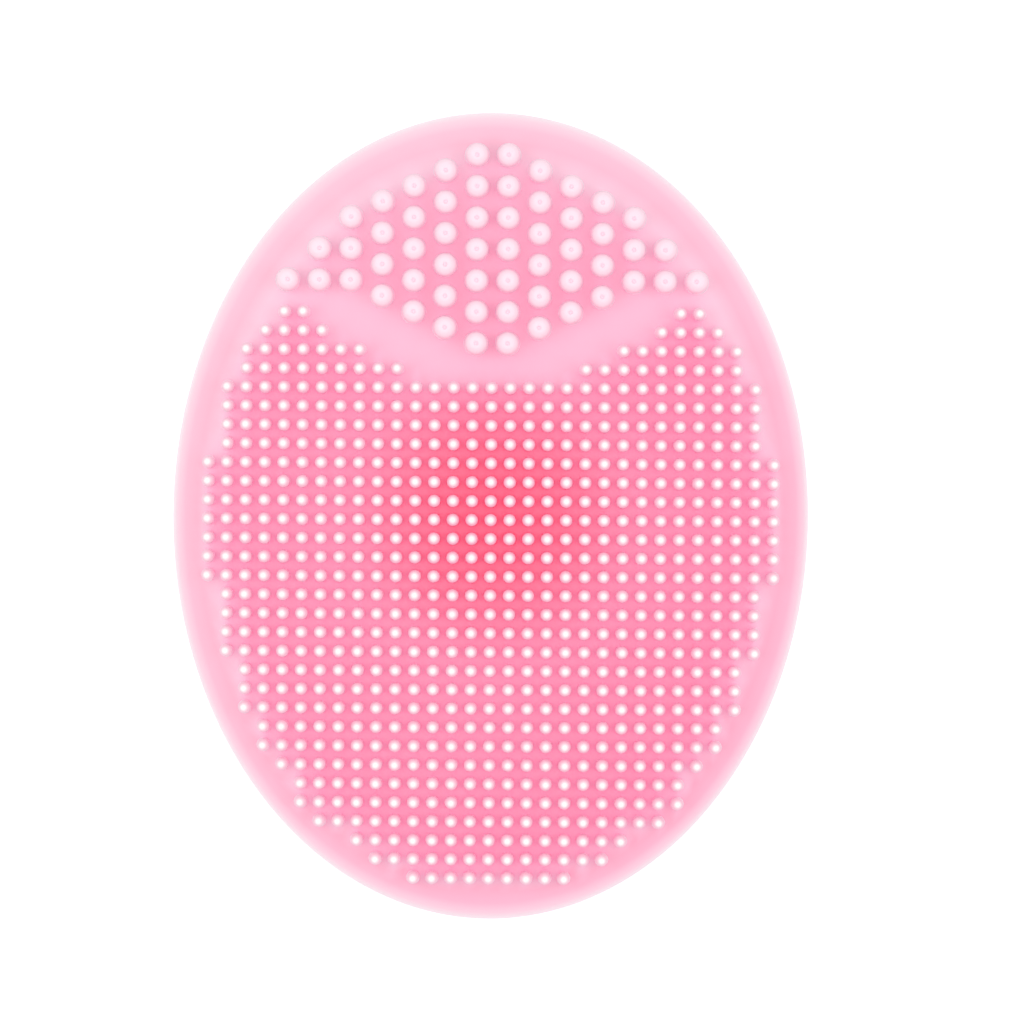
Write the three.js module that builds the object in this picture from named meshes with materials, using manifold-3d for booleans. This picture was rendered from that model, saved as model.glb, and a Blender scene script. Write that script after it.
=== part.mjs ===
// A hand-held facial cleansing brush, moulded in one shot from translucent pink silicone.
//
// An oval, slightly domed pad carries a square grid of fine bristles and, above a smooth
// smile-shaped land, a diamond of thick massage nubs. On the back a short stem, held between
// two fingers, ends in a suction cup that parks the brush on a mirror or a tiled wall.
//
// Frame: millimetres, +Z out of the bristles, +Y towards the nubs, +X to the right as seen from
// the bristle side. The origin is the middle of the suction cup's lip, on the plane it rests on.
//
// The moulding is split into its working zones, each a solid of its own. Neighbours keep a gap
// of `seam` between them. The grid of bristles is drawn coarser than the real one, with strands
// as much thicker, inside the same outline.

import * as THREE from "three";
import { mergeGeometries, mergeVertices } from "three/addons/utils/BufferGeometryUtils.js";
import Module from "manifold-3d";

// ---- Driving dimensions -------------------------------------------------------------------

const padLength = 80; // along Y
const padWidth = 63; // along X
const overallHeight = 26; // from the cup's lip to the bristle tips
const seam = 0.3; // between neighbouring zones

const bristle = { length: 5, baseRadius: 0.65, tipRadius: 0.5, sides: 4 };
const nub = { length: 4.2, baseRadius: 1.25, tipRadius: 0.6, shoulder: 0.7, sides: 6 };
const rootDepth = 0.5; // how far bristles and nubs reach into their backing

// The pad's wall: a dome that falls from the middle to the rim, over a hollow back.
const domeRise = 3;
const wallMiddle = 3;
const wallRim = 2.6;
const skinThickness = 1; // of the slices that carry bristles and nubs

// The bristles' square grid: its outermost rows and columns, and what trims its corners.
const gridPitch = 1.865;
const gridCoarser = 1.5; // drawn pitch over real pitch, and drawn thickness over real thickness
const gridHalfWidth = 28;
const gridBottomY = -35.9;
const gridTopY = 20.1; // the tips of the two upper horns
const gridOval = { middleY: -0.42, halfWidth: 28.4, halfLength: 37.2 };
const hornHalfWidth = 25.2; // the horns' outermost column
const hornReach = 40.7; // the most that |x| + y comes to on the horns
const smileBottomY = 12.65; // the land between bristles and nubs is a smile: its lowest edge
const smileClimb = 0.0236; // how fast that edge climbs, per square millimetre of x squared

// The nubs stand in upright columns, one nub fewer in each column further out.
const nubPitch = 3.11;
const nubColumns = 7; // on each side of the middle
const nubBottomY = 17.05; // the lowest nub of the two middle columns
const nubStagger = 4; // columns that step up by half a pitch, before the bottom runs level

const stem = { radius: 6.2, topRadius: 8.8, waistLength: 3.4 };
const cup = {
  lipRadius: 15,
  sealWidth: 2,
  lipThickness: 1,
  hubTop: 6,
  hubBottom: 3.4,
};

const ovalSegments = 72;
const domeSegments = 20;
const fieldSegments = 40;
const smileSegments = 6;
const cupSegments = 60;
const stemSegments = 40;
const straightness = 0.001; // a join's spare points, this near to a straight edge, are dropped

// ---- Worked out from them -----------------------------------------------------------------

const faceTop = overallHeight - bristle.length;
const backTop = faceTop - wallMiddle;
const rimRadius = wallRim / 2;
const rimStart = 1 - rimRadius / (padWidth / 2); // share of the oval where the rim's rounding starts
const backRise = domeRise - (wallMiddle - wallRim) / rimStart ** 2;
const strandFoot = bristle.baseRadius * gridCoarser;

// Share of the way from the middle to the oval's edge, 1 on the edge.
function ovalShare(x, y) {
  return Math.hypot(x / (padWidth / 2), y / (padLength / 2));
}

// Height of the pad's face above the cup's lip plane.
function faceHeight(x, y) {
  return faceTop - domeRise * ovalShare(x, y) ** 2;
}

// ---- From three.js geometry to solids and back --------------------------------------------

const manifold = await Module();
manifold.setup();

function solidOf(geometry) {
  const bare = new THREE.BufferGeometry().setAttribute("position", geometry.getAttribute("position"));
  bare.setIndex(geometry.index);
  const merged = mergeVertices(bare);
  const corners = merged.index.array;
  const kept = [];
  for (let i = 0; i < corners.length; i += 3) {
    const [a, b, c] = corners.slice(i, i + 3);
    if (a !== b && b !== c && c !== a) kept.push(a, b, c);
  }
  const vertProperties = merged.getAttribute("position").array;
  const triVerts = new Uint32Array(kept);
  return new manifold.Manifold(new manifold.Mesh({ numProp: 3, vertProperties, triVerts }));
}

function geometryOf(solid) {
  const plain = solid.asOriginal().simplify(straightness);
  const { numProp, numVert, vertProperties, triVerts } = plain.getMesh();
  const positions = new Float32Array(numVert * 3);
  for (let i = 0; i < numVert; i += 1) {
    positions.set(vertProperties.subarray(i * numProp, i * numProp + 3), i * 3);
  }
  const geometry = new THREE.BufferGeometry();
  geometry.setAttribute("position", new THREE.BufferAttribute(positions, 3));
  geometry.setIndex(new THREE.BufferAttribute(triVerts, 1));
  const flat = geometry.toNonIndexed();
  flat.computeVertexNormals();
  return flat;
}

// ---- Shapes shared by the zones -----------------------------------------------------------

// A profile of [radius, height] pairs, from the axis down and back, turned about Z.
function turned(profile, segments) {
  const points = profile.map(([radius, height]) => new THREE.Vector2(radius, height));
  return new THREE.LatheGeometry(points, segments).rotateX(Math.PI / 2);
}

// A closed outline, drawn counter-clockwise, moved outwards with its corners mitred.
function grown(outline, distance) {
  return outline.map((point, i) => {
    const arriving = point.clone().sub(outline.at(i - 1)).normalize();
    const leaving = outline[(i + 1) % outline.length].clone().sub(point).normalize();
    const normalIn = new THREE.Vector2(arriving.y, -arriving.x);
    const normalOut = new THREE.Vector2(leaving.y, -leaving.x);
    const mitre = normalIn.clone().add(normalOut);
    return point.clone().addScaledVector(mitre, distance / (1 + normalIn.dot(normalOut)));
  });
}

function mirrored(outline) {
  return outline.map((point) => new THREE.Vector2(-point.x, point.y)).reverse();
}

// An upright column with that outline, taller than the whole brush.
function columnOver(outline) {
  const options = { depth: overallHeight, bevelEnabled: false };
  return solidOf(new THREE.ExtrudeGeometry(new THREE.Shape(outline), options));
}

// Everything above the pad's face, sunk by a depth.
function spaceAboveFace(depth) {
  const reach = 1.1;
  const ceiling = 2 * overallHeight;
  const dome = [0, 0.25, 0.5, 0.75, 1].map((step) => {
    const share = step * reach;
    return [share, faceTop - depth - domeRise * share ** 2];
  });
  const geometry = turned([...dome, [reach, ceiling], [0, ceiling]], domeSegments);
  return solidOf(geometry.scale(padWidth / 2, padLength / 2, 1));
}

// The whole dished oval, before its face is cut for the zones.
function wholePad() {
  const rimTop = faceTop - domeRise * rimStart ** 2;
  const rimTurns = [0.25, 0.5, 0.75].map((turn) => {
    const angle = Math.PI * turn;
    const outwards = (1 - rimStart) * Math.sin(angle);
    return [rimStart + outwards, rimTop - rimRadius * (1 - Math.cos(angle))];
  });
  const faceShares = [0.25, 0.5, 0.75, 1].map((step) => step * rimStart);
  const face = faceShares.map((share) => [share, faceTop - domeRise * share ** 2]);
  const back = faceShares.toReversed().map((share) => [share, backTop - backRise * share ** 2]);
  const profile = [[0, faceTop], ...face, ...rimTurns, ...back, [0, backTop]].reverse();
  return solidOf(turned(profile, ovalSegments).scale(padWidth / 2, padLength / 2, 1));
}

// ---- Outlines of the zones, seen from the bristle side ------------------------------------

const zoneEdgeShare = 0.955; // of the oval, where the bristles' backing stops
const zoneMargin = 1; // backing past the centres of the outermost strands
const nubMargin = 0.15; // backing past the feet of the outermost nubs
const splitY = smileBottomY + gridPitch / 2; // between the main field and its two upper horns

// The main field: the oval below the split line.
function mainOutline() {
  const halfWidth = (padWidth / 2) * zoneEdgeShare;
  const halfLength = (padLength / 2) * zoneEdgeShare;
  const start = Math.asin(splitY / halfLength);
  const oval = new THREE.EllipseCurve(0, 0, halfWidth, halfLength, Math.PI - start, start);
  return oval.getPoints(fieldSegments);
}

// The field's right-hand horn, between the split line, the smile and the side.
function hornOutline() {
  const bottomY = splitY + seam;
  const topY = gridTopY + zoneMargin;
  const sideX = hornHalfWidth + zoneMargin;
  const slopeSum = hornReach + zoneMargin;
  const smileY = smileBottomY + zoneMargin;
  const smileX = (y) => Math.sqrt((y - smileY) / smileClimb);
  const from = smileX(topY);
  const to = smileX(bottomY);
  // A parabola is exactly one quadratic curve, whose handle lies half way across.
  const smile = new THREE.QuadraticBezierCurve(
    new THREE.Vector2(from, topY),
    new THREE.Vector2((from + to) / 2, smileY + smileClimb * from * to),
    new THREE.Vector2(to, bottomY),
  );
  return [
    new THREE.Vector2(sideX, bottomY),
    new THREE.Vector2(sideX, slopeSum - sideX),
    new THREE.Vector2(slopeSum - topY, topY),
    ...smile.getPoints(smileSegments),
  ];
}

// Where the nubs stand: column 0 is the first right of the middle.
function nubCentres() {
  const centres = [];
  for (let column = 0; column < nubColumns; column += 1) {
    const bottomY = nubBottomY + (nubPitch / 2) * Math.min(column, nubStagger);
    for (let row = 0; row < nubColumns - column; row += 1) {
      const x = (column + 0.5) * nubPitch;
      const y = bottomY + row * nubPitch;
      centres.push([x, y], [-x, y]);
    }
  }
  return centres;
}

// The diamond round the nubs, blunted at its two outer corners.
function nubOutline() {
  const columnX = (column) => (column + 0.5) * nubPitch;
  const levelY = nubBottomY + (nubPitch / 2) * nubStagger;
  const topY = nubBottomY + (nubColumns - 1) * nubPitch;
  const right = [
    new THREE.Vector2(columnX(0), nubBottomY),
    new THREE.Vector2(columnX(nubStagger), levelY),
    new THREE.Vector2(columnX(nubColumns - 1), levelY),
    new THREE.Vector2(columnX(nubColumns - 1), levelY + nub.baseRadius),
    new THREE.Vector2(columnX(nubStagger), levelY + 2 * nubPitch),
    new THREE.Vector2(columnX(0), topY),
  ];
  const throughCentres = [...right, ...mirrored(right)];
  return grown(throughCentres, nub.baseRadius + nubMargin);
}

// ---- Strands and nubs ---------------------------------------------------------------------

// True where the grid has a strand, whose foot has to stay on its backing.
function inGrid(x, y) {
  const { middleY, halfWidth, halfLength } = gridOval;
  const foot = strandFoot * Math.SQRT1_2;
  return (
    Math.hypot(x / halfWidth, (y - middleY) / halfLength) <= 1 &&
    ovalShare(Math.abs(x) + foot, Math.abs(y) + foot) < zoneEdgeShare &&
    y <= smileBottomY + smileClimb * x * x &&
    Math.abs(x) + y <= hornReach
  );
}

// One square strand, tapered to a flat tip and rooted in its backing.
function strandAt(x, y) {
  const { length, tipRadius, sides } = bristle;
  const height = length + rootDepth;
  return new THREE.CylinderGeometry(tipRadius * gridCoarser, strandFoot, height, sides, 1)
    .rotateX(Math.PI / 2)
    .rotateZ(Math.PI / sides)
    .translate(x, y, faceHeight(x, y) + length - height / 2);
}

// One thick nub with a rounded shoulder.
function nubAt(x, y) {
  const { length, baseRadius, tipRadius, shoulder, sides } = nub;
  const profile = [
    [0, -rootDepth],
    [baseRadius, -rootDepth],
    [baseRadius * 0.9, length - shoulder],
    [tipRadius, length],
    [0, length],
  ];
  return turned(profile, sides).translate(x, y, faceHeight(x, y));
}

function strandsWhere(wanted) {
  const columns = Math.round(gridHalfWidth / gridPitch / gridCoarser);
  const rows = Math.round((gridTopY - gridBottomY) / gridPitch / gridCoarser);
  const columnPitch = gridHalfWidth / columns;
  const rowPitch = (gridTopY - gridBottomY) / rows;
  const strands = [];
  for (let row = 0; row <= rows; row += 1) {
    for (let column = -columns; column <= columns; column += 1) {
      const x = column * columnPitch;
      const y = gridBottomY + row * rowPitch;
      if (inGrid(x, y) && wanted(x, y)) strands.push(strandAt(x, y));
    }
  }
  return strands;
}

// ---- The zones ----------------------------------------------------------------------------

const pad = wholePad();
const zones = {
  main: mainOutline(),
  rightHorn: hornOutline(),
  leftHorn: mirrored(hornOutline()),
  nubs: nubOutline(),
};

// A slice of the pad's face with that outline.
function skin(outline) {
  return columnOver(outline).intersect(spaceAboveFace(skinThickness)).subtract(spaceAboveFace(0));
}

function zoneWith(outline, standing) {
  return skin(outline).add(solidOf(mergeGeometries(standing)));
}

// The dished backing, with a pocket under each zone of its face.
function padShell() {
  const sunk = spaceAboveFace(skinThickness + seam);
  let shell = pad;
  for (const outline of Object.values(zones)) {
    shell = shell.subtract(columnOver(grown(outline, seam)).intersect(sunk));
  }
  return shell;
}

function mainBristles() {
  return zoneWith(zones.main, strandsWhere((x, y) => y < splitY));
}

function hornBristles(side) {
  const outline = side > 0 ? zones.rightHorn : zones.leftHorn;
  return zoneWith(outline, strandsWhere((x, y) => y > splitY && x * side > 0));
}

function massageNubs() {
  return zoneWith(zones.nubs, nubCentres().map(([x, y]) => nubAt(x, y)));
}

// The finger grip: a straight waist that flares into the pad's back.
function gripStem() {
  const bottom = cup.hubTop + seam;
  const top = backTop - seam - 0.2;
  const flareStart = bottom + stem.waistLength;
  const flare = [0.3, 0.6, 0.85, 1].map((step) => {
    const radius = stem.radius + (stem.topRadius - stem.radius) * step ** 2.5;
    return [radius, flareStart + (top - flareStart) * step];
  });
  const profile = [[0, bottom], [stem.radius, bottom], [stem.radius, flareStart], ...flare, [0, top]];
  return solidOf(turned(profile, stemSegments));
}

// The suction cup's thick middle, over the hollow that holds the vacuum.
function cupHub() {
  const chamfer = 0.5;
  return solidOf(
    turned(
      [
        [0, cup.hubBottom],
        [stem.radius - chamfer, cup.hubBottom],
        [stem.radius, cup.hubBottom + chamfer],
        [stem.radius, cup.hubTop],
        [0, cup.hubTop],
      ],
      stemSegments,
    ),
  );
}

// The flexible skirt: a flared ring, thick at the hub and thin at its flat sealing lip.
function cupSkirt() {
  const inner = stem.radius + seam;
  const seal = cup.lipRadius - cup.sealWidth;
  const between = (from, to, step) => from + (to - from) * step;
  const upper = [0.25, 0.5, 0.75, 1].map((step) => [
    between(cup.lipRadius, inner, step),
    between(cup.lipThickness, cup.hubTop, step ** 1.3),
  ]);
  const roof = [0, 0.3, 0.6, 1].map((step) => [
    between(inner, seal, step),
    cup.hubBottom * (1 - step ** 1.6),
  ]);
  const edge = [
    [cup.lipRadius, 0],
    [cup.lipRadius + 0.3, cup.lipThickness / 2],
    [cup.lipRadius, cup.lipThickness],
  ];
  return solidOf(turned([...roof, ...edge, ...upper, roof[0]], cupSegments));
}

// ---- The brush ----------------------------------------------------------------------------

const silicone = (color, roughness) =>
  new THREE.MeshStandardMaterial({ color, roughness, metalness: 0 });
const finishes = {
  pad: silicone("#fcbcd2", 0.5),
  bristles: silicone("#ff9bb8", 0.42),
  nubs: silicone("#fbdfea", 0.45),
  grip: silicone("#f794b3", 0.5),
  cup: silicone("#fbb3ca", 0.38),
};

const zoneList = [
  ["pad_shell", padShell(), finishes.pad],
  ["bristles_main", mainBristles(), finishes.bristles],
  ["bristles_upper_left", hornBristles(-1), finishes.bristles],
  ["bristles_upper_right", hornBristles(1), finishes.bristles],
  ["massage_nubs", massageNubs(), finishes.nubs],
  ["grip_stem", gripStem(), finishes.grip],
  ["cup_hub", cupHub(), finishes.cup],
  ["cup_skirt", cupSkirt(), finishes.cup],
];

const brush = new THREE.Group();
for (const [name, solid, material] of zoneList) {
  const mesh = new THREE.Mesh(geometryOf(solid), material);
  mesh.name = name;
  brush.add(mesh);
}

export default brush;
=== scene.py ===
import bpy
import math
import mathutils
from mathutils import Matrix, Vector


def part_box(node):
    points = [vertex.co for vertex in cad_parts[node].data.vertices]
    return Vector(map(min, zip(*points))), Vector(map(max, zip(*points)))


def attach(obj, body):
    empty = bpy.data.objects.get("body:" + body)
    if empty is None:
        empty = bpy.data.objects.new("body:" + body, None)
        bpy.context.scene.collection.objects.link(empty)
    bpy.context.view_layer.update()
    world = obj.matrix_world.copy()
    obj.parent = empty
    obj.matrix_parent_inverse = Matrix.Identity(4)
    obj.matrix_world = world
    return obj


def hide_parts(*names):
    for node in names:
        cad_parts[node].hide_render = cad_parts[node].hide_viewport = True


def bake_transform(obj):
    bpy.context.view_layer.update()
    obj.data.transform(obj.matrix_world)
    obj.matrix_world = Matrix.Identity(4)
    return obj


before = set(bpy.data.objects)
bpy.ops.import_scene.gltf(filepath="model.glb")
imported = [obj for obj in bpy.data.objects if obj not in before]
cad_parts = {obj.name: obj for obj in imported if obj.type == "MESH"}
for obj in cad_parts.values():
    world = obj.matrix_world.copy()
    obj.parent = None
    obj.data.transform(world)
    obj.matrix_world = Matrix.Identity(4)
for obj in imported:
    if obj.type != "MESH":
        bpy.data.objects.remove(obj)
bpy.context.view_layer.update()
mm = 0.001

# what the frame says about the moulding, in metres
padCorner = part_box("pad_shell")[1]
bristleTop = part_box("bristles_main")[1].z
stemBottom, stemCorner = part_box("grip_stem")[0].z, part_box("grip_stem")[1]
hubBottom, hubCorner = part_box("cup_hub")[0].z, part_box("cup_hub")[1]
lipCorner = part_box("cup_skirt")[1]

dome = {
    "halfWidth": padCorner.x,
    "halfLength": padCorner.y,
    "faceTop": bristleTop - 5 * mm,  # the face at the middle, under 5 mm of bristle
    "faceDrop": 3 * mm,  # from the middle of the face to the oval's edge
    "backTop": bristleTop - 8 * mm,
    "backDrop": 2.57 * mm,
}


def faceHeight(x, y):
    share = math.hypot(x / dome["halfWidth"], y / dome["halfLength"])
    return dome["faceTop"] - dome["faceDrop"] * share ** 2


# modelling helpers
def deselectAll():
    if bpy.context.object and bpy.context.object.mode != "OBJECT":
        bpy.ops.object.mode_set(mode="OBJECT")
    bpy.ops.object.select_all(action="DESELECT")


def pullRings(name, rings, sides):
    # a closed round solid: a disc at the first ring, its face pulled through all the others
    deselectAll()
    radius, height = rings[0]
    centre = (0, 0, height)
    bpy.ops.mesh.primitive_circle_add(vertices=sides, radius=radius, fill_type="NGON", location=centre)
    piece = bpy.context.object
    piece.name = name
    bpy.ops.object.transform_apply(location=True, rotation=True, scale=True)
    bpy.ops.object.mode_set(mode="EDIT")
    bpy.ops.mesh.select_mode(type="FACE")
    bpy.ops.mesh.select_all(action="SELECT")
    for nextRadius, nextHeight in rings[1:]:
        bpy.ops.mesh.extrude_region_move(TRANSFORM_OT_translate={"value": (0, 0, nextHeight - height)})
        growth = nextRadius / radius
        bpy.ops.transform.resize(value=(growth, growth, 1), center_override=(0, 0, nextHeight))
        radius, height = nextRadius, nextHeight
    bpy.ops.mesh.select_all(action="SELECT")
    bpy.ops.mesh.normals_make_consistent(inside=False)
    bpy.ops.object.mode_set(mode="OBJECT")
    bpy.ops.object.shade_smooth_by_angle(angle=math.radians(50))
    return piece


def arc(centre, radius, fromDegrees, toDegrees, steps):
    # points of a circular arc in the profile plane, as (distance out, height)
    points = []
    for step in range(steps + 1):
        angle = math.radians(fromDegrees + (toDegrees - fromDegrees) * step / steps)
        points.append((centre[0] + radius * math.cos(angle), centre[1] + radius * math.sin(angle)))
    return points


def copyTo(model, places, name):
    # one joined piece of copies of the model, each with its own mesh, standing at its (x, y, z)
    deselectAll()
    for place in places:
        copied = model.copy()
        copied.data = model.data.copy()
        copied.location = place
        bpy.context.scene.collection.objects.link(copied)
        copied.select_set(True)
    bpy.context.view_layer.objects.active = copied
    bpy.ops.object.join()
    joined = bpy.context.object
    joined.name = name
    bpy.ops.object.transform_apply(location=True, rotation=True, scale=True)
    return joined


# the pad
pad = {
    "sides": 192,
    "faceRings": 44,
    "rimStart": 0.9587,  # share of the oval where the rim starts to round over
    "rimSteps": 6,  # on each side of the parting line
    "partingLine": 0.07 * mm,  # how far the mould's parting line stands proud of the rim
    "partingTurn": 6,  # degrees of the rim's round, on each side of the line, that lead up to it
    "pole": 0.01,  # share of the oval left as one face in the middle
    "colours": [  # from the middle out to the thin rim: deepest just outside the fields; the pale rim is painted light, the glow of thin translucent silicone
        (0, "#ffc8dd"), (0.6, "#ffc8dd"), (0.88, "#ffd2e4"), (0.925, "#ffbed4"),
        (0.96, "#ffc2d7"), (0.985, "#ffd7e6"), (1, "#fff0f7"),
    ],
    "endShadeSaturation": (1.074, 0.926),  # painted shade: the bare pad's saturation at its long end, away from the light above, and at its nub end
    "fieldColour": "#ffd4e8",  # among the bristles, paler since their shade and pink walls deepen it
    "fieldFade": (2.1 * mm, 2.8 * mm),  # from that to the bare pad's colours, by the fourth nearest bristle
    "gripShadeColour": "#ffb8d6",  # painted shade in front of the grip, which shows through the translucent pad
    "roughness": (0.38, 0.5),
    "specular": 0.3,
    "scatterShare": 0,
}


def buildPad():
    # the back from the middle outwards, the rim, and the face to the middle again, in shares of the oval
    rimStart, pole = pad["rimStart"], pad["pole"]
    rings = []
    for step in range(pad["faceRings"] + 1):
        share = pole + (rimStart - pole) * step / pad["faceRings"]
        rings.append((share, dome["backTop"] - dome["backDrop"] * share ** 2))
    backRim = rings[-1][1]
    faceRim = dome["faceTop"] - dome["faceDrop"] * rimStart ** 2
    rimMiddle = (backRim + faceRim) / 2
    rimRadius = (faceRim - backRim) / 2
    rimReach = 1 - rimStart - pad["partingLine"] / dome["halfWidth"]
    turns = arc((0, 0), 1, -90, -pad["partingTurn"], pad["rimSteps"])[1:]
    turns += [(1 + pad["partingLine"] / dome["halfWidth"] / rimReach, 0)]
    turns += arc((0, 0), 1, pad["partingTurn"], 90, pad["rimSteps"])[:-1]
    rings += [(rimStart + rimReach * out, rimMiddle + rimRadius * up) for out, up in turns]
    for step in range(pad["faceRings"] + 1):
        share = rimStart - (rimStart - pole) * step / pad["faceRings"]
        rings.append((share, dome["faceTop"] - dome["faceDrop"] * share ** 2))
    piece = pullRings("silicone_pad", rings, pad["sides"])
    bpy.ops.object.mode_set(mode="EDIT")
    bpy.ops.mesh.select_all(action="SELECT")
    bpy.ops.transform.resize(value=(dome["halfWidth"], dome["halfLength"], 1), center_override=(0, 0, 0))
    bpy.ops.object.mode_set(mode="OBJECT")
    return piece


def markNearness(piece, places):
    # gives each point of the pad its nearness to the fourth nearest bristle: 1 inside a field, 0 outside it
    tree = mathutils.kdtree.KDTree(len(places))
    for index, place in enumerate(places):
        tree.insert(place, index)
    tree.balance()
    near, far = pad["fieldFade"]
    distances = [tree.find_n(vertex.co, 4)[-1][2] for vertex in piece.data.vertices]
    values = [max(0, min(1, (far - distance) / (far - near))) for distance in distances]
    attribute = piece.data.attributes.new("nearness", "FLOAT", "POINT")
    attribute.data.foreach_set("value", values)


# the finger grip
stem = {
    "sides": 96,
    "waistRadius": stemCorner.x - 2.6 * mm,
    "straight": 2 * mm,  # up from the cup, before the first ring of the flare
    "flareRadius": 3.2 * mm,
    "flareDrop": 0.05 * mm,  # keeps the flare's round just under the pad's back
    "flareEnd": 95,  # degrees, a little short of level
    "flareSteps": 12,
    "sunk": 0.4 * mm,  # into the cup and into the pad
    "endShare": 0.9,  # of the radius, at the ends hidden in the pad and the cup
    "colours": [(0, "#ffc6da"), (1, "#ffb2cb")],  # from the cup up to the pad
    "roughness": (0.38, 0.5),
    "specular": 0.5,
    "scatterShare": 0.3,
}


def buildStem():
    waist, flare = stem["waistRadius"], stem["flareRadius"]
    bottom, top = stemBottom - stem["sunk"], dome["backTop"]
    rings = [(waist * stem["endShare"], bottom), (waist, bottom), (waist, stemBottom + stem["straight"])]
    middle = (waist + flare, top - flare - stem["flareDrop"])
    rings += arc(middle, flare, 180, stem["flareEnd"], stem["flareSteps"])
    rings.append((waist + flare * stem["endShare"], top + stem["sunk"]))
    return pullRings("finger_grip", rings, stem["sides"])


# the suction cup
cup = {
    "sides": 128,
    "lipInset": 0.3 * mm,  # from the solid's edge to the middle of the lip's round
    "sealWidth": 2 * mm,
    "lipThickness": 1 * mm,
    "rimRadius": 0.5 * mm,
    "rimRings": 6,
    "hollowRings": 13,
    "hollowSlope": 2.6,  # how steeply the hollow underneath rises towards the hub
    "skirtRings": 18,
    "skirtSlope": 1.5,
    "neckShare": 0.25,  # of the skirt's climb, taken by the curve into the stem
    "overStem": 0.02 * mm,  # how far the neck stands proud of the stem
    "upStem": 0.5 * mm,  # how far it reaches up the stem
    "pole": 0.5 * mm,  # radius of the one face in the middle of the hollow
    "colours": [(0.3, "#ffc2d8"), (0.75, "#ffcfe0"), (1, "#ffe4ee")],  # from the hub out to the thin lip, whose paleness is painted light, the glow of thin translucent silicone
    "roughness": (0.14, 0.24),
    "specular": 0.5,
    "scatterShare": 0.3,
}


def buildCup():
    lip = lipCorner.x - cup["lipInset"]
    seal = lip - cup["sealWidth"]
    neck = stem["waistRadius"] + cup["overStem"]
    neckTop = hubCorner.z + cup["upStem"]
    pole = cup["pole"]
    rings = []
    for step in range(cup["hollowRings"] + 1):
        share = step / cup["hollowRings"]
        rings.append((pole + (seal - pole) * share, hubBottom * (1 - share ** cup["hollowSlope"])))
    rings += arc((lip, cup["rimRadius"]), cup["rimRadius"], -90, 90, cup["rimRings"])
    climb = hubCorner.z - cup["lipThickness"]
    for step in range(1, cup["skirtRings"] + 1):
        share = 1 - (1 - step / cup["skirtRings"]) ** 2
        upright = 1 - math.sqrt(1 - share ** 2)  # a quarter circle, which turns the skirt up into the stem
        sweep = (1 - cup["neckShare"]) * share ** cup["skirtSlope"] + cup["neckShare"] * upright
        rings.append((lip + (neck - lip) * share, cup["lipThickness"] + climb * sweep))
    rings += [(neck, neckTop), (neck * stem["endShare"], neckTop)]
    return pullRings("suction_cup", rings, cup["sides"])


# the fine bristles
bristle = {
    "length": 5 * mm,
    "sides": 12,
    "footRadius": 0.7 * mm,
    "tipRadius": 0.6 * mm,
    "tipLength": 0.75 * mm,  # of the egg-shaped tip on top of the straight taper
    "tipRings": 3,
    "tipTurn": 78,  # degrees of the tip's round, up to its small flat end
    "sunk": 0.2 * mm,  # into the pad
    "pitch": 1.865 * mm,
    "middleY": -0.42 * mm,  # of the middle row
    "columns": 15,  # each side of the middle one
    "rowsUp": 11,  # from the middle row
    "rowsDown": 19,
    "fieldHalfWidth": 15.2,  # of the oval that bounds the field, in pitches
    "fieldHalfLength": 19.95,
    "smileRow": 7,  # from the middle row up to the lowest point of the smile
    "smileClimb": 0.044,  # rows that it climbs, times the square of the column
    "hornReach": 22,  # the most that columns plus rows come to, on the horns
    "colours": [  # from the foot up to the tip: the pale walls and white tip are painted light, the glow of thin translucent silicone and the light it carries into the gaps
        (0, "#fff2f9"), (0.85, "#ffdcea"), (0.933, "#ffcfe0"),
        (0.962, "#ffd9e5"), (0.98, "#ffeff4"), (0.989, "#ffffff"),
    ],
    "gripShadeColours": [  # the same, with painted shade in front of the grip
        (0, "#ffbcd8"), (0.5, "#ffc4dc"), (0.85, "#ffd0e2"), (0.933, "#ffc5da"),
        (0.962, "#ffd7e4"), (0.98, "#ffeff4"), (0.989, "#ffffff"),
    ],
    "roughness": (0.34, 0.46),
    "specular": 0,
    "scatterShare": 0,
}


def modelBristle():
    shoulder = bristle["length"] - bristle["tipLength"]
    rings = [(bristle["footRadius"], -bristle["sunk"])]
    for out, up in arc((0, 0), 1, 0, bristle["tipTurn"], bristle["tipRings"]):
        rings.append((bristle["tipRadius"] * out, shoulder + bristle["tipLength"] * up))
    return pullRings("bristle_model", rings, bristle["sides"])


def bristlePlaces():
    places = []
    for row in range(-bristle["rowsDown"], bristle["rowsUp"] + 1):
        for column in range(-bristle["columns"], bristle["columns"] + 1):
            inField = math.hypot(column / bristle["fieldHalfWidth"], row / bristle["fieldHalfLength"]) <= 1
            underSmile = row <= bristle["smileRow"] + bristle["smileClimb"] * column ** 2
            inHorn = row <= 0 or abs(column) + row <= bristle["hornReach"]
            if inField and underSmile and inHorn:
                x, y = column * bristle["pitch"], bristle["middleY"] + row * bristle["pitch"]
                places.append((x, y, faceHeight(x, y)))
    return places


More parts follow.
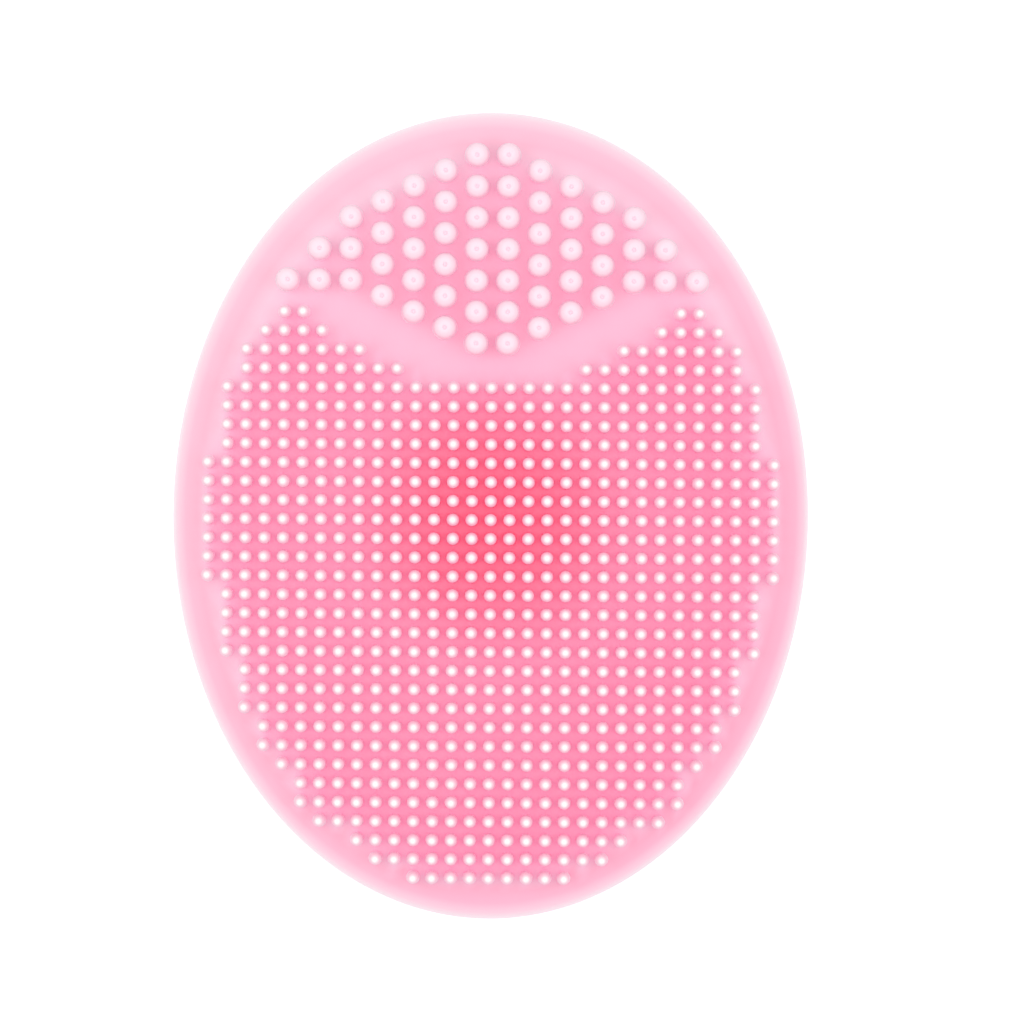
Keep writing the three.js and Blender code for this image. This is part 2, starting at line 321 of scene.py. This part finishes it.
# the thick nubs
nub = {
    "length": 4.2 * mm,
    "sides": 20,
    "sunk": 0.5 * mm,  # into the pad
    "foot": ((1.28 * mm, 0), (1.2032 * mm, 0.15 * mm), (1.19 * mm, 0.45 * mm)),  # radius and height
    "tipRadius": 1.15 * mm,
    "shoulder": 0.9 * mm,  # radius of the tip's round edge
    "shoulderRings": 5,
    "shoulderTurn": 80,  # degrees
    "dimpleRadius": 0.26 * mm,
    "dimpleDepth": 0.2 * mm,
    "dimpleBottom": 0.4,  # share of its radius
    "pitch": 3.11 * mm,
    "columns": 7,  # each side of the middle
    "bottomY": 17.04 * mm,
    "staggered": 4,  # columns that step up by half a pitch
    # from the foot up to the dimpled top: the pale walls and top are painted light, the glow of thin
    # translucent silicone between the nubs
    "colours": [
        (0, "#fff2f9"), (0.7, "#ffe8f2"), (0.79, "#ffd2e2"), (0.885, "#ffdae8"),
        (0.92, "#ffe0ec"), (0.97, "#ffe2ee"), (0.99, "#ffe7f3"),
    ],
    "roughness": (0.38, 0.5),
    "specular": 0.3,
    "scatterShare": 0,
}


def modelNub():
    length, tip, shoulder = nub["length"], nub["tipRadius"], nub["shoulder"]
    dimple, bottom = nub["dimpleRadius"], nub["dimpleBottom"]
    middle = (tip - shoulder, length - shoulder)
    rings = [(nub["foot"][0][0], -nub["sunk"]), *nub["foot"]]
    rings += arc(middle, shoulder, 0, nub["shoulderTurn"], nub["shoulderRings"])
    rings += [(dimple, length), (dimple * bottom, length - nub["dimpleDepth"])]
    return pullRings("nub_model", rings, nub["sides"])


def nubPlaces():
    places = []
    for column in range(nub["columns"]):
        bottomY = nub["bottomY"] + nub["pitch"] / 2 * min(column, nub["staggered"])
        for row in range(nub["columns"] - column):
            x = (column + 0.5) * nub["pitch"]
            y = bottomY + row * nub["pitch"]
            places += [(x, y, faceHeight(x, y)), (-x, y, faceHeight(x, y))]
    return places


# colours and shader nodes
def toLinear(hexColour):
    channels = [int(hexColour[i:i + 2], 16) / 255 for i in (1, 3, 5)]
    return [c / 12.92 if c <= 0.04045 else ((c + 0.055) / 1.055) ** 2.4 for c in channels] + [1]


def addNode(material, kind, settings=None, links=None, stops=()):
    # settings: attributes or input values; links: an input's name or number and the socket it takes;
    # stops: the places and colours along a ramp
    node = material.node_tree.nodes.new(kind)
    for key, value in (settings or {}).items():
        if isinstance(key, str) and hasattr(node, key):
            setattr(node, key, value)
        else:
            node.inputs[key].default_value = value
    for key, socket in (links or {}).items():
        material.node_tree.links.new(socket, node.inputs[key])
    for index, (place, colour) in enumerate(stops):
        elements = node.color_ramp.elements
        element = elements[index] if index < len(elements) else elements.new(place)
        element.position, element.color = place, toLinear(colour)
    return node


# Platinum-cured silicone, injection moulded and tinted pink. It lets light in and scatters it back,
# red furthest, so thin edges and tips look pale and deep gaps look a strong, clean pink; the pale edges
# and tips are painted light in the colours of the pieces. The mould's grain leaves it satin, with soft
# wide highlights; only the cup is polished.
silicone = {
    "ior": 1.41,
    "scatter": (1.0, 0.35, 0.45),  # how far red, green and blue go, in shares of the depth
    "scatterDepth": 0.5 * mm,
    "grain": 0.3 * mm,  # the spark-eroded mould's grain is about 0.05 mm: drawn coarser, so that it shows
    "grainDepth": 0.006 * mm,
    "pigmentDrift": 9 * mm,  # the pigment is mixed in a little unevenly
    "saturation": (0.97, 1.03),  # where there is least of it and most
    "shadeSlope": (1.9, 0, 0),  # painted shade: the saturation's gain per metre along x, y and z, deeper towards +x, away from the light above
    "gripShadeRadius": 16 * mm,  # painted shade: the grip behind the translucent pad shows through as a deeper, soft round patch
}


def emptyMaterial(name):
    material = bpy.data.materials.new(name)
    material.use_nodes = True
    material.node_tree.nodes.clear()
    return material


def startSilicone(name):
    material = emptyMaterial(name)
    return material, addNode(material, "ShaderNodeTexCoord").outputs["Object"]


def fromAxis(material, coords):
    # distance from the upright line through the middle of the grip
    level = addNode(material, "ShaderNodeVectorMath", {"operation": "MULTIPLY", 1: (1, 1, 0)}, {0: coords})
    length = addNode(material, "ShaderNodeVectorMath", {"operation": "LENGTH"}, {0: level.outputs[0]})
    return length.outputs["Value"]


# painted shade mask: 1 in front of the grip, falling to 0 at the patch's radius
def gripShadeMask(material, coords):
    settings = {"interpolation_type": "SMOOTHSTEP", "From Min": silicone["gripShadeRadius"], "From Max": 0}
    return addNode(material, "ShaderNodeMapRange", settings, {0: fromAxis(material, coords)}).outputs[0]


def ovalShare(material, coords):
    # 0 in the middle of the pad, 1 at its edge
    shares = (1 / dome["halfWidth"], 1 / dome["halfLength"], 0)
    flat = addNode(material, "ShaderNodeVectorMath", {"operation": "MULTIPLY", 1: shares}, {0: coords})
    length = addNode(material, "ShaderNodeVectorMath", {"operation": "LENGTH"}, {0: flat.outputs[0]})
    return length.outputs["Value"]


def upStrand(material, coords, length):
    # 0 at the foot of a bristle or nub, wherever it stands on the domed face, and 1 at its tip
    share = ovalShare(material, coords)
    square = addNode(material, "ShaderNodeMath", {"operation": "POWER", 1: 2}, {0: share})
    split = addNode(material, "ShaderNodeSeparateXYZ", links={0: coords})
    settings = {"operation": "MULTIPLY_ADD", 1: dome["faceDrop"]}
    level = addNode(material, "ShaderNodeMath", settings, {0: square.outputs[0], 2: split.outputs["Z"]})
    settings = {"From Min": dome["faceTop"], "From Max": dome["faceTop"] + length}
    return addNode(material, "ShaderNodeMapRange", settings, {0: level.outputs[0]}).outputs[0]


def finishSilicone(material, coords, colour, piece):
    # the pigment's drift, painted shade deepening towards +x, the mould's grain and the silicone itself
    settings = {"Scale": 1 / silicone["pigmentDrift"], "Detail": 2}
    drift = addNode(material, "ShaderNodeTexNoise", settings, {0: coords})
    paler, deeper = silicone["saturation"]
    settings = {"To Min": paler, "To Max": deeper}
    uneven = addNode(material, "ShaderNodeMapRange", settings, {0: drift.outputs[0]})
    settings = {"operation": "DOT_PRODUCT", 1: silicone["shadeSlope"]}
    slope = addNode(material, "ShaderNodeVectorMath", settings, {0: coords})
    links = {0: uneven.outputs[0], 1: slope.outputs["Value"]}
    amount = addNode(material, "ShaderNodeMath", {"operation": "ADD"}, links)
    links = {"Color": colour, "Saturation": amount.outputs[0]}
    tinted = addNode(material, "ShaderNodeHueSaturation", links=links)
    settings = {"Scale": 1 / silicone["grain"], "Detail": 3}
    grain = addNode(material, "ShaderNodeTexNoise", settings, {0: coords})
    smooth, rough = piece["roughness"]
    settings = {"To Min": smooth, "To Max": rough}
    satin = addNode(material, "ShaderNodeMapRange", settings, {0: grain.outputs[0]})
    settings = {"Distance": silicone["grainDepth"]}
    bump = addNode(material, "ShaderNodeBump", settings, {"Height": grain.outputs[0]})
    settings = {
        "IOR": silicone["ior"],
        "Specular IOR Level": piece["specular"],
        "Subsurface Weight": piece["scatterShare"],
        "Subsurface Radius": silicone["scatter"],
        "Subsurface Scale": silicone["scatterDepth"],
    }
    links = {"Base Color": tinted.outputs[0], "Roughness": satin.outputs[0], "Normal": bump.outputs[0]}
    shader = addNode(material, "ShaderNodeBsdfPrincipled", settings, links)
    addNode(material, "ShaderNodeOutputMaterial", links={"Surface": shader.outputs[0]})


def padMaterial():
    material, coords = startSilicone("silicone_satin_pad")
    share = ovalShare(material, coords)
    colour = addNode(material, "ShaderNodeValToRGB", links={0: share}, stops=pad["colours"])
    split = addNode(material, "ShaderNodeSeparateXYZ", links={0: coords})
    # painted shade: the bare pad deepens towards its long end, away from the light above
    settings = {"From Min": -dome["halfLength"], "From Max": dome["halfLength"]}
    settings["To Min"], settings["To Max"] = pad["endShadeSaturation"]
    along = addNode(material, "ShaderNodeMapRange", settings, {0: split.outputs["Y"]})
    links = {"Color": colour.outputs[0], "Saturation": along.outputs[0]}
    bare = addNode(material, "ShaderNodeHueSaturation", links=links)
    nearness = addNode(material, "ShaderNodeAttribute", {"attribute_name": "nearness"})
    settings = {"data_type": "RGBA", 7: toLinear(pad["fieldColour"])}
    links = {0: nearness.outputs["Fac"], 6: bare.outputs[0]}
    inField = addNode(material, "ShaderNodeMix", settings, links)
    # painted shade where the grip shows through the pad
    settings = {"data_type": "RGBA", 7: toLinear(pad["gripShadeColour"])}
    links = {0: gripShadeMask(material, coords), 6: inField.outputs[2]}
    gripShaded = addNode(material, "ShaderNodeMix", settings, links)
    finishSilicone(material, coords, gripShaded.outputs[2], pad)
    return material


def bristleMaterial():
    material, coords = startSilicone("silicone_satin_bristle")
    up = upStrand(material, coords, bristle["length"])
    colour = addNode(material, "ShaderNodeValToRGB", links={0: up}, stops=bristle["colours"])
    gripShadeColour = addNode(material, "ShaderNodeValToRGB", links={0: up}, stops=bristle["gripShadeColours"])
    links = {0: gripShadeMask(material, coords), 6: colour.outputs[0], 7: gripShadeColour.outputs[0]}
    gripShaded = addNode(material, "ShaderNodeMix", {"data_type": "RGBA"}, links)
    finishSilicone(material, coords, gripShaded.outputs[2], bristle)
    return material


def nubMaterial():
    material, coords = startSilicone("silicone_satin_nub")
    up = upStrand(material, coords, nub["length"])
    colour = addNode(material, "ShaderNodeValToRGB", links={0: up}, stops=nub["colours"])
    finishSilicone(material, coords, colour.outputs[0], nub)
    return material


def stemMaterial():
    material, coords = startSilicone("silicone_satin_grip")
    split = addNode(material, "ShaderNodeSeparateXYZ", links={0: coords})
    settings = {"From Min": stemBottom, "From Max": dome["backTop"]}
    up = addNode(material, "ShaderNodeMapRange", settings, {0: split.outputs["Z"]})
    colour = addNode(material, "ShaderNodeValToRGB", links={0: up.outputs[0]}, stops=stem["colours"])
    finishSilicone(material, coords, colour.outputs[0], stem)
    return material


def cupMaterial():
    material, coords = startSilicone("silicone_polished_cup")
    settings = {"From Max": lipCorner.x}
    out = addNode(material, "ShaderNodeMapRange", settings, {0: fromAxis(material, coords)})
    colour = addNode(material, "ShaderNodeValToRGB", links={0: out.outputs[0]}, stops=cup["colours"])
    finishSilicone(material, coords, colour.outputs[0], cup)
    return material


# assembling
print("modelling the pad, grip and cup")
padPiece = buildPad()
stemPiece = buildStem()
cupPiece = buildCup()

print("modelling the bristles and nubs")
bristles, nubs = bristlePlaces(), nubPlaces()
smileY = bristle["middleY"] + (bristle["smileRow"] + 0.5) * bristle["pitch"]
fields = {
    "fine_bristles_main": [(x, y, z) for x, y, z in bristles if y < smileY],
    "fine_bristles_left": [(x, y, z) for x, y, z in bristles if y > smileY and x < 0],
    "fine_bristles_right": [(x, y, z) for x, y, z in bristles if y > smileY and x > 0],
}
bristleModel = modelBristle()
bristlePieces = {name: copyTo(bristleModel, places, name) for name, places in fields.items()}
nubModel = modelNub()
nubPiece = copyTo(nubModel, nubs, "thick_nubs")
markNearness(padPiece, bristles)
print("bristles:", len(bristles), "nubs:", len(nubs))
for model in (bristleModel, nubModel):
    bpy.data.objects.remove(model)

print("materials")
padPiece.data.materials.append(padMaterial())
stemPiece.data.materials.append(stemMaterial())
cupPiece.data.materials.append(cupMaterial())
nubPiece.data.materials.append(nubMaterial())
bristleSilicone = bristleMaterial()
for piece in bristlePieces.values():
    piece.data.materials.append(bristleSilicone)

print("placing on the bodies")
for piece in (padPiece, stemPiece, nubPiece, *bristlePieces.values()):
    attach(piece, "pad")
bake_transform(cupPiece)
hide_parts("pad_shell")
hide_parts("grip_stem")
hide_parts("cup_hub", "cup_skirt")
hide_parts("massage_nubs")
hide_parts("bristles_main")
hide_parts("bristles_upper_left")
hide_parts("bristles_upper_right")

# floor, light and camera
stage = {
    "floorSize": 3,
    "floorDrop": 0.02 * mm,  # keeps the paper and the cup's lip from sharing a plane
    "floorColour": "#f9f9f9",
    "floorGlow": 0.42,  # seen by the eye and in reflections only, so the paper looks white
    "skyColour": "#ffffff",
    "skyStrength": 0.83,  # as light on the object; seen directly it is 1, pure white
    "bounces": 24,  # light goes to and fro many times between pale bristles
    "lens": 527.4,
    "sensor": 36,
    "cameraPlace": (1.91 * mm, 0.59 * mm, 1500 * mm),
    "cameraTurn": (0, 0, 0.394),  # degrees: straight down, as in the photo
}

# one above, and a pair at the sides that lights the lanes between the rows of bristles, so that only the
# narrow gaps within a row stay dark; turns in degrees
softboxes = {
    "softbox_above": {"power": 0.3, "size": 0.6, "place": (-0.08, 0.12, 0.9), "turn": (-7.6, -5.1, 0)},
    "softbox_left": {"power": 0.66, "size": 0.4, "place": (-0.338, 0, 0.725), "turn": (0, -25, 0)},
    "softbox_right": {"power": 0.66, "size": 0.4, "place": (0.338, 0, 0.725), "turn": (0, 25, 0)},
}


def seenDirectly(material):
    # 1 for rays from the eye, from gloss and through glass, 0 for light on the object
    path = addNode(material, "ShaderNodeLightPath")
    first = {0: path.outputs["Is Camera Ray"], 1: path.outputs["Is Glossy Ray"]}
    some = addNode(material, "ShaderNodeMath", {"operation": "MAXIMUM"}, first)
    second = {0: some.outputs[0], 1: path.outputs["Is Transmission Ray"]}
    return addNode(material, "ShaderNodeMath", {"operation": "MAXIMUM"}, second).outputs[0]


def paperMaterial():
    # matt white paper: no gloss, and a soft shadow under the brush
    material = emptyMaterial("white_paper_sweep")
    paper = addNode(material, "ShaderNodeBsdfDiffuse", {"Color": toLinear(stage["floorColour"])})
    seen = seenDirectly(material)
    settings = {"operation": "MULTIPLY", 1: stage["floorGlow"]}
    strength = addNode(material, "ShaderNodeMath", settings, {0: seen})
    glow = addNode(material, "ShaderNodeEmission", links={"Strength": strength.outputs[0]})
    both = addNode(material, "ShaderNodeAddShader", links={0: paper.outputs[0], 1: glow.outputs[0]})
    addNode(material, "ShaderNodeOutputMaterial", links={"Surface": both.outputs[0]})
    return material


print("stage")
deselectAll()
bpy.ops.mesh.primitive_plane_add(size=stage["floorSize"], location=(0, 0, -stage["floorDrop"]))
floor = bpy.context.object
floor.name = "floor"
floor.data.materials.append(paperMaterial())

world = bpy.data.worlds.new("studio")
world.use_nodes = True
world.node_tree.nodes.clear()
seen = seenDirectly(world)
settings = {"To Min": stage["skyStrength"], "To Max": 1}
skyStrength = addNode(world, "ShaderNodeMapRange", settings, {0: seen})
settings = {"Color": toLinear(stage["skyColour"])}
sky = addNode(world, "ShaderNodeBackground", settings, {"Strength": skyStrength.outputs[0]})
addNode(world, "ShaderNodeOutputWorld", links={"Surface": sky.outputs[0]})
bpy.context.scene.world = world

for name, values in softboxes.items():
    lamp = bpy.data.lights.new(name, "AREA")
    lamp.energy = values["power"]
    lamp.size = values["size"]
    softbox = bpy.data.objects.new(name, lamp)
    softbox.location = values["place"]
    softbox.rotation_euler = [math.radians(angle) for angle in values["turn"]]
    bpy.context.scene.collection.objects.link(softbox)

cameraData = bpy.data.cameras.new("camera")
cameraData.lens = stage["lens"]
cameraData.sensor_width = stage["sensor"]
cameraData.clip_start = 0.01
camera = bpy.data.objects.new("camera", cameraData)
camera.location = stage["cameraPlace"]
camera.rotation_euler = [math.radians(angle) for angle in stage["cameraTurn"]]
bpy.context.scene.collection.objects.link(camera)
bpy.context.scene.camera = camera
bpy.context.scene.view_settings.view_transform = "Standard"
bpy.context.scene.cycles.diffuse_bounces = stage["bounces"]
bpy.context.scene.cycles.glossy_bounces = stage["bounces"]
bpy.context.scene.cycles.max_bounces = stage["bounces"]
